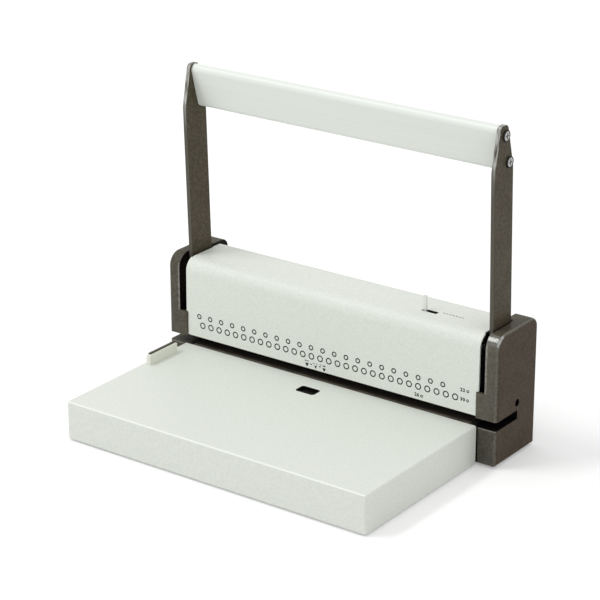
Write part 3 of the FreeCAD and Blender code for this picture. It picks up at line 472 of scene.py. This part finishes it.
plains = {
    "guidePaint": {"colour": (0.83, 0.84, 0.75), "spot": (0.77, 0.78, 0.69), "scale": 900.0, "depth": 0.00003,
                   "roughness": 0.42, "specular": 0.5},
    "leverPaint": {"colour": (0.82, 0.83, 0.78), "spot": (0.74, 0.75, 0.71), "scale": 900.0, "depth": 0.00002,
                   "roughness": 0.36, "specular": 0.5},
    "nylon": {"colour": (0.68, 0.67, 0.60), "spot": (0.60, 0.59, 0.52), "scale": 300.0, "depth": 0.00003,
              "roughness": 0.50, "specular": 0.4},
    "footRubber": {"colour": (0.030, 0.030, 0.030), "spot": (0.022, 0.022, 0.022), "scale": 700.0,
                   "depth": 0.00010, "roughness": 0.75, "specular": 0.3},
    "smokedPane": {"colour": (0.004, 0.004, 0.004), "spot": (0.006, 0.006, 0.005), "scale": 60.0,
                   "depth": 0.00001, "roughness": 0.30, "specular": 0.06},
    "blackZinc": {"colour": (0.010, 0.010, 0.010), "spot": (0.016, 0.016, 0.015), "scale": 300.0,
                  "depth": 0.00002, "roughness": 0.55, "specular": 0.15},
    "ink": {"colour": (0.012, 0.012, 0.012), "spot": (0.030, 0.030, 0.030), "scale": 900.0, "depth": 0.00002,
            "roughness": 0.65, "specular": 0.2},
}


def makePlain(name, s, spread=0.12):
    # Paint, plastic, rubber or ink: two near colours over a noise, with its own gloss.
    f = Finish(name)
    spot = f.noise(s["scale"])
    f.set(Base_Color=f.mixed(spot, s["colour"], s["spot"]),
          Roughness=f.uneven(spot, s["roughness"], spread),
          Specular_IOR_Level=s["specular"],
          Normal=f.bump(spot, s["depth"]))
    return f


dieSteel = {
    "colour": (0.044, 0.036, 0.027),
    "spot": (0.025, 0.020, 0.015),
    "spotScale": 500.0,
    # Painted light: the streak colour is a painted highlight.
    "streakColour": (0.150, 0.138, 0.104),
    "streakStretch": (60.0, 900.0, 900.0),
    "streakStops": ((0.38, 0.0), (0.58, 1.0)),
    "streakBack": 0.0550,
    "depth": 0.00002,
    "roughness": 0.45,
    "roughnessSpread": 0.12,
    "specular": 0.30,
}


def makeDieSteel(name, s):
    # Phosphated steel, with a painted highlight in a broken streak along its front edge, where the paper slides
    # in.
    f = Finish(name)
    spot = f.noise(s["spotScale"])
    # Painted highlight: the lit front strip of the die, in front of the head's shadow.
    frontHighlight = f.ramp(f.drawn(s["streakStretch"]), s["streakStops"]) * (f.part("Y", f.place) < s["streakBack"])
    f.set(Base_Color=f.mixed(frontHighlight, f.mixed(spot, s["colour"], s["spot"]), s["streakColour"]),
          Roughness=f.uneven(spot, s["roughness"], s["roughnessSpread"]),
          Specular_IOR_Level=s["specular"],
          Normal=f.bump(spot, s["depth"]))
    return f


white = makeWhitePaint("whitePaint", whitePaint)
plastic = makeDarkPlastic("darkPlastic", darkPlastic)
drawerPlastic = makeDarkPlastic("drawerPlastic", {**darkPlastic, **drawerGloss})
paintedArm = makeArmPaint("armPaint", armPaint)
coat = makeGripCoat("gripCoat", gripCoat)
metal = {name: makeMetal(name, s) for name, s in metals.items()}
plain = {name: makePlain(name, s) for name, s in plains.items()}

dress(white, "paper_table", "head_cover")
dress(plastic, "end_cover_left", "end_cover_right")
dress(drawerPlastic, "chip_drawer")
dress(paintedArm, "arm_left", "arm_right")
dress(coat, "grip")
dress(metal["zinc"], "base_plate", "lever_bracket", "drawer_rails", "punch_retainer", "depth_stop")
dress(plain["blackZinc"], "side_frame_left", "side_frame_right")
dress(makeDieSteel("dieSteel", dieSteel), "die_plate")
dress(metal["toolSteel"], "stripper_plate", "throat_spacers", "cam_left", "cam_right", "press_beam")
dress(metal["groundSteel"], "tie_rods", "guide_posts", "pivot_shaft", "cam_pins", "punch_pins", "cam_pads")
dress(metal["springWire"], "return_springs")
dress(metal["nickelScrew"], "base_screws", "table_screws", "guide_screws", "frame_screws", "stripper_screws",
      "end_cover_screws", "head_cover_screws", "bracket_screws", "arm_screws", "retainer_screws")
dress(metal["gripScrew"], "grip_screws")
dress(metal["bronze"], "shaft_bushes", "beam_bushes")
dress(plain["guidePaint"], "paper_guide")
dress(plain["leverPaint"], "margin_lever")
dress(plain["nylon"], "arm_spacers")
dress(plain["footRubber"], "rubber_feet")
dress(plain["smokedPane"], "sight_pane")
print("finishes set")


# mesh helpers

def gridQuads(rows, columns):
    # Corner numbers of each cell of a grid of points that closes on itself both ways.
    r = np.arange(rows)[:, None]
    c = np.arange(columns)[None, :]
    nextR, nextC = (r + 1) % rows, (c + 1) % columns
    corners = (r * columns + c, nextR * columns + c, nextR * columns + nextC, r * columns + nextC)
    return np.stack(np.broadcast_arrays(*corners), -1).reshape(-1, 4)


def copied(faces, count, step):
    # The same faces for each of count copies, whose points are step apart in the list.
    return (faces[None] + (np.arange(count) * step)[:, None, None]).reshape(-1, faces.shape[-1])


def circle(sides):
    # Angles of points spread evenly round a full turn.
    return np.linspace(0, 2 * math.pi, sides, endpoint=False)


def meshOf(name, points, faces):
    mesh = bpy.data.meshes.new(name)
    mesh.from_pydata(points.reshape(-1, 3).tolist(), [], faces)
    return mesh


def addPiece(name, mesh, finish, body, smooth=False):
    mesh.materials.append(finish.material)
    mesh.polygons.foreach_set("use_smooth", np.full(len(mesh.polygons), smooth))
    piece = bpy.data.objects.new(name, mesh)
    bpy.context.scene.collection.objects.link(piece)
    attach(piece, body)
    return piece


# printed marks on the head

headFace = {
    "frontY": 0.0520,
    "frontZ": 0.0452,
    "lean": 0.01355,
    "topZ": 0.1190,
    "raised": 0.00004,
    "sunk": 0.00006,
}


def onFront(x, z, lift):
    # A point of the head's front, which leans back a little as it rises, lifted off the face.
    y = headFace["frontY"] + headFace["lean"] * (z - headFace["frontZ"]) - lift
    return np.stack(np.broadcast_arrays(x, y, z), -1)


def onTop(x, y, lift):
    # A point of the head's flat top, lifted off it.
    return np.stack(np.broadcast_arrays(x, y, headFace["topZ"] + lift), -1)


countRing = {"count": 1, "pitch": 0.0, "radius": 0.0010, "line": 0.00075, "sides": 24}
holeRows = {
    "holeMarksClose": {"count": 30, "first": -0.13984, "pitch": 0.0095, "height": 0.05733, "radius": 0.00260,
                       "line": 0.00108, "sides": 40},
    "holeMarksWide": {"count": 22, "first": -0.14387, "pitch": 0.0127, "height": 0.06548, "radius": 0.00198,
                      "line": 0.00108, "sides": 36},
    "countRingWide": {**countRing, "first": 0.1482, "height": 0.0653},
    "countRingClose": {**countRing, "first": 0.1482, "height": 0.0567},
    "countRingShort": {**countRing, "first": 0.1015, "height": 0.0491},
}


def makeHoleRow(name, s):
    # Ring k: a flat band of ink, centre + (radius + edge) * (cos a, sin a), with its section's four corners.
    k = np.arange(s["count"])[:, None, None]
    a = circle(s["sides"])[None, :, None]
    edge = np.array([0.5, 0.5, -0.5, -0.5]) * s["line"]
    lift = np.array([-headFace["sunk"], headFace["raised"], headFace["raised"], -headFace["sunk"]])
    x = s["first"] + k * s["pitch"] + (s["radius"] + edge) * np.cos(a)
    z = s["height"] + (s["radius"] + edge) * np.sin(a) + 0 * k
    faces = copied(gridQuads(s["sides"], 4), s["count"], 4 * s["sides"])
    mesh = meshOf(name, onFront(x, z, lift), faces.tolist())
    addPiece(name, mesh, plain["ink"], "chassis")


def makePlates(name, outlines, place):
    # Thin plates of ink: each outline, a run of corners turning left, is lifted and joined to its sunk copy.
    count, corners = outlines.shape[:2]
    u, v = outlines[..., 0], outlines[..., 1]
    points = np.stack([place(u, v, -headFace["sunk"]), place(u, v, headFace["raised"])], 1)
    low = np.arange(corners)
    high = low + corners
    sides = np.stack([low, np.roll(low, -1), np.roll(high, -1), high], -1)
    faces = []
    for ring in (high[None], low[None, ::-1], sides):
        faces += copied(ring, count, 2 * corners).tolist()
    addPiece(name, meshOf(name, points, faces), plain["ink"], "chassis")


def bars(middles, size):
    # Rectangles of one size round the given middles.
    corners = np.array([(-0.5, -0.5), (0.5, -0.5), (0.5, 0.5), (-0.5, 0.5)]) * size
    return np.array(middles)[:, None, :] + corners


pointers = {
    "x": (-0.0211, -0.0116, -0.0023),
    "top": (0.0500, 0.0494, 0.0492),
    "width": (0.0042, 0.0030, 0.0036),
    "height": (0.0036, 0.0030, 0.0036),
}
dashes = {
    "pointerDashes": {"middles": ((-0.0165, 0.0496), (-0.0070, 0.0496)), "size": (0.0020, 0.0009)},
    "rangeDashes": {"middles": ((-0.0138, 0.0512), (-0.0106, 0.0512), (-0.0064, 0.0514)),
                    "size": (0.0018, 0.0006)},
    "sizeDashes": {"middles": ((-0.0226, 0.0520), (-0.0202, 0.0520), (-0.0030, 0.0512), (-0.0016, 0.0512)),
                   "size": (0.0015, 0.0010)},
}
leverTicks = {"first": 0.1060, "pitch": 0.0032, "count": 7, "y": 0.0785, "size": (0.0021, 0.0009)}


def triangles(s):
    # Triangles that stand on their tips: the top's middle + (-1/2, 0), (0, -1), (1/2, 0) times the size.
    shape = np.array([(-0.5, 0.0), (0.0, -1.0), (0.5, 0.0)])
    size = np.stack([s["width"], s["height"]], -1)[:, None, :]
    return np.stack([s["x"], s["top"]], -1)[:, None, :] + shape * size


def ticks(s):
    # A row of rectangles, one pitch apart.
    middles = [(s["first"] + s["pitch"] * k, s["y"]) for k in range(s["count"])]
    return bars(middles, s["size"])


for rowName, rowSettings in holeRows.items():
    makeHoleRow(rowName, rowSettings)
makePlates("pointerMarks", triangles(pointers), onFront)
for barName, barSettings in dashes.items():
    makePlates(barName, bars(**barSettings), onFront)
makePlates("leverTicks", ticks(leverTicks), onTop)

countFont = {"size": 0.0043, "spacing": 1.2, "weight": 0.00020, "curveSteps": 3}
countMarks = {
    "countMarkWide": {"text": "22", "x": 0.1406, "z": 0.0642},
    "countMarkClose": {"text": "30", "x": 0.1408, "z": 0.0556},
    "countMarkShort": {"text": "26", "x": 0.0942, "z": 0.0480},
}


def makeCountMark(name, s, font):
    # A number, made a mesh lying flat, then stood on the head's front with its lean.
    words = bpy.data.curves.new(name + "Words", "FONT")
    words.body = s["text"]
    words.size = font["size"]
    words.extrude = headFace["raised"]
    words.space_character = font["spacing"]
    words.offset = font["weight"]
    words.resolution_u = font["curveSteps"]
    holder = bpy.data.objects.new(name + "Words", words)
    bpy.context.scene.collection.objects.link(holder)
    mesh = bpy.data.meshes.new_from_object(holder.evaluated_get(bpy.context.evaluated_depsgraph_get()))
    bpy.data.objects.remove(holder)
    x, y, z = onFront(s["x"], s["z"], 0.0)
    lean = headFace["lean"]
    mesh.transform(Matrix(((1, 0, 0, x), (0, lean, -1, y), (0, 1, lean, z), (0, 0, 0, 1))))
    mesh.materials.clear()
    addPiece(name, mesh, plain["ink"], "chassis")


for markName, markSettings in countMarks.items():
    makeCountMark(markName, markSettings, countFont)
print("printed marks made")


# sight window's gasket

gasket = {
    "middle": (-0.0017, 0.0265),
    "size": (0.0185, 0.0110),
    "corner": 0.0020,
    "cornerSteps": 10,
    "lip": 0.0008,
    "lipRise": 0.00025,
    "lipSlope": 0.0002,
    "bevel": 0.0001,
    "wall": 0.0006,
    "seat": 0.00002,
    "top": 0.0370,
    "depth": 0.0030,
}


def roundedOutline(size, corner, steps):
    # A rectangle with round corners: corner points + radius * (cos a, sin a), a quarter turn each, turning left.
    turn = np.linspace(0, math.pi / 2, steps)[None, :] + np.arange(4)[:, None] * math.pi / 2
    side = np.array([(1, 1), (-1, 1), (-1, -1), (1, -1)])[:, None, :]
    half = np.array(size) / 2 - corner
    return (side * half + corner * np.stack([np.cos(turn), np.sin(turn)], -1)).reshape(-1, 2)


def makeGasket(s):
    # A section swept round the window: a lip that laps the table, and a wall down to the pane.
    top, low, lip = s["top"] + s["lipRise"], s["top"] - s["depth"], s["top"] - s["seat"]
    section = ((-s["wall"], low), (-s["wall"], top - s["bevel"]), (s["bevel"] - s["wall"], top),
               (s["lip"] - s["lipSlope"], top), (s["lip"], lip), (-s["seat"], lip), (-s["seat"], low))
    rings = []
    for out, z in section:
        flat = roundedOutline(np.array(s["size"]) + 2 * out, s["corner"] + out, s["cornerSteps"]) + s["middle"]
        rings.append(np.column_stack([flat, np.full(len(flat), z)]))
    points = np.stack(rings, 0)
    mesh = meshOf("windowGasket", points, gridQuads(*points.shape[:2]).tolist())
    addPiece("windowGasket", mesh, plain["smokedPane"], "chassis")


makeGasket(gasket)


# trim along the paper guide

guideTrim = {
    "frontGap": 0.0030,
    "backGap": 0.0002,
    "across": 0.0022,
    "proud": 0.0004,
    "rise": 0.0011,
    "down": 0.0060,
    "bevel": 0.0003,
    "seat": 0.00001,
}


def makeGuideTrim(s):
    # An angle that hugs the guide's outer top edge: an L section, drawn along Y and closed at both ends.
    low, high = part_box("paper_guide")
    x0, x1 = low.x - s["proud"], low.x + s["across"]
    z0, z1 = high.z - s["down"], high.z + s["rise"]
    inX, inZ, bevel = low.x - s["seat"], high.z - s["seat"], s["bevel"]
    section = np.array([(x0, z0), (inX, z0), (inX, inZ), (x1, inZ), (x1, z1 - bevel), (x1 - bevel, z1),
                        (x0 + bevel, z1), (x0, z1 - bevel)])
    y = np.array([low.y + s["frontGap"], high.y - s["backGap"]])[:, None]
    points = np.stack(np.broadcast_arrays(section[None, :, 0], y, section[None, :, 1]), -1)
    near = np.arange(len(section))
    far = near + len(section)
    sides = np.stack([near, far, np.roll(far, -1), np.roll(near, -1)], -1)
    mesh = meshOf("guideTrim", points, [near.tolist(), far[::-1].tolist()] + sides.tolist())
    addPiece("guideTrim", mesh, paintedArm, "chassis")


makeGuideTrim(guideTrim)


# cup washers round the grip screws

washers = {
    "middles": ((0.074429, 0.290732), (0.080899, 0.266584)),
    "armFace": 0.1645,
    "headRadius": 0.0048,
    "headHeight": 0.0014,
    "lap": 0.0008,
    "flange": 0.0003,
    "thick": 0.00015,
    "clear": 0.00003,
    "seat": 0.00002,
    "wallHeight": 0.0009,
    "slope": (0.0002, 0.0001),
    "shoulder": 0.0004,
    "sides": 48,
}


def makeWashers(s):
    # Each washer is a section turned about an axis along X: a lip that laps the head's rim and a wall to the arm.
    inner, outer = s["headRadius"] - s["lap"], s["headRadius"] + s["flange"]
    rim, under = s["headRadius"] + s["clear"], s["headHeight"] + s["clear"]
    foot, top = -s["seat"], s["headHeight"] + s["thick"]
    slopeIn, slopeDown = s["slope"]
    section = np.array([(inner, under), (rim, under), (rim, foot), (outer, foot), (outer, s["wallHeight"]),
                        (outer - slopeIn, top - slopeDown), (outer - s["shoulder"], top), (inner, top)])
    a = circle(s["sides"])[:, None]
    reach, height = section.T
    one = np.stack(np.broadcast_arrays(s["armFace"] + height, reach * np.cos(a), reach * np.sin(a)), -1)
    right = one[None] + np.array([(0, y, z) for y, z in s["middles"]])[:, None, None]
    left = right * (-1, 1, 1)
    faces = copied(gridQuads(s["sides"], len(section)), len(s["middles"]), len(section) * s["sides"])
    both = np.concatenate([faces, faces[:, ::-1] + right[..., 0].size])    # the mirror turns the left ones round
    mesh = meshOf("gripWashers", np.stack([right, left]), both.tolist())
    addPiece("gripWashers", mesh, plain["ink"], "handle")


makeWashers(washers)
print("gasket, trim and washers made")


# return springs

springs = {
    "x": (-0.120, 0.120),
    "y": 0.090,
    "low": 0.0484,
    "high": 0.06405,
    "meanRadius": 0.0044,
    "wireRadius": 0.0005,
    "turns": 6.0,
    "closedTurns": 0.8,
    "closedClimb": 0.28,
    "stepsPerTurn": 28,
    "wireSides": 10,
    "pressedLength": 0.43,
}


def makeSprings(s):
    # A helix whose climb eases to a low share over the closed end turns; a circle is carried along it.
    steps, sides, count = int(s["turns"] * s["stepsPerTurn"]), s["wireSides"], len(s["x"])
    turn = np.linspace(0, s["turns"], steps)
    slow = np.clip(np.minimum(turn, s["turns"] - turn) / s["closedTurns"], 0.0, 1.0)
    climb = s["closedClimb"] + (1 - s["closedClimb"]) * slow * slow * (3 - 2 * slow)
    rise = np.concatenate([[0], np.cumsum((climb[1:] + climb[:-1]) / 2)])
    low, high = s["low"] + s["wireRadius"], s["high"] - s["wireRadius"]
    a = 2 * math.pi * turn
    middle = np.stack([s["meanRadius"] * np.cos(a), s["y"] + s["meanRadius"] * np.sin(a),
                       low + (high - low) * rise / rise[-1]], -1)
    along = np.gradient(middle, axis=0)
    along /= np.linalg.norm(along, axis=1, keepdims=True)
    outward = np.stack([np.cos(a), np.sin(a), 0 * a], -1)
    other = np.cross(along, outward)
    w = circle(sides)[None, :, None]
    one = middle[:, None] + s["wireRadius"] * (outward[:, None] * np.cos(w) + other[:, None] * np.sin(w))
    points = one[None] + np.array([(x, 0, 0) for x in s["x"]])[:, None, None]
    tube = gridQuads(steps, sides)[:(steps - 1) * sides, ::-1]
    first = np.arange(sides)
    ends = np.stack([first, first[::-1] + (steps - 1) * sides])
    faces = copied(tube, count, steps * sides).tolist() + copied(ends, count, steps * sides).tolist()
    piece = addPiece("returnSprings", meshOf("returnSprings", points, faces), metal["springWire"], "chassis",
                     smooth=True)
    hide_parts("return_springs")
    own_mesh(piece)


makeSprings(springs)
print("return springs wound")


# stage

studio = {
    "floorSize": 14.0,
    "floorColour": (0.83, 0.83, 0.83),
    "floorLift": 0.25,
    "skyStrength": 0.80,
}


def makeStage(s):
    # A flat square floor and an even sky; both show as white, and light the object less than they show.
    half = s["floorSize"] / 2
    mesh = bpy.data.meshes.new("floor")
    mesh.from_pydata([(-half, -half, 0), (half, -half, 0), (half, half, 0), (-half, half, 0)], [], [(0, 1, 2, 3)])
    floor = bpy.data.objects.new("floor", mesh)
    bpy.context.scene.collection.objects.link(floor)
    f = Finish("floorPaper")
    f.set(Base_Color=s["floorColour"], Roughness=1.0, Specular_IOR_Level=0.0, Emission_Color=(1, 1, 1),
          Emission_Strength=f.seenRay() * s["floorLift"])
    mesh.materials.append(f.material)

    world = bpy.data.worlds.new("studio")
    bpy.context.scene.world = world
    g = Graph(world)
    strength = g.seenRay() * (1 - s["skyStrength"]) + s["skyStrength"]
    sky = g.node("ShaderNodeBackground", {}, {"Color": (1, 1, 1), "Strength": strength})
    g.node("ShaderNodeOutputWorld", {}, {"Surface": sky})


lamps = {
    "key": {"place": (-1.63, -1.3886, 3.1084), "aim": (0.17, 0.055, 0.115), "size": (1.98, 0.432), "roll": -45.0,
            "power": 38.9, "colour": (0.985, 1.0, 0.980)},
}


def hangLamp(name, s):
    data = bpy.data.lights.new(name, "AREA")
    data.shape = "RECTANGLE"
    data.size, data.size_y = s["size"]
    data.energy = s["power"]
    data.color = s["colour"]
    lamp = bpy.data.objects.new(name, data)
    lamp.location = s["place"]
    turn = (Vector(s["aim"]) - Vector(s["place"])).to_track_quat("-Z", "Y").to_matrix()
    lamp.rotation_euler = (turn @ Matrix.Rotation(math.radians(s["roll"]), 3, "Z")).to_euler()
    bpy.context.scene.collection.objects.link(lamp)


makeStage(studio)
for lampName, lampSettings in lamps.items():
    hangLamp(lampName, lampSettings)
bpy.context.scene.view_settings.view_transform = "Standard"
print("stage and lamps set")
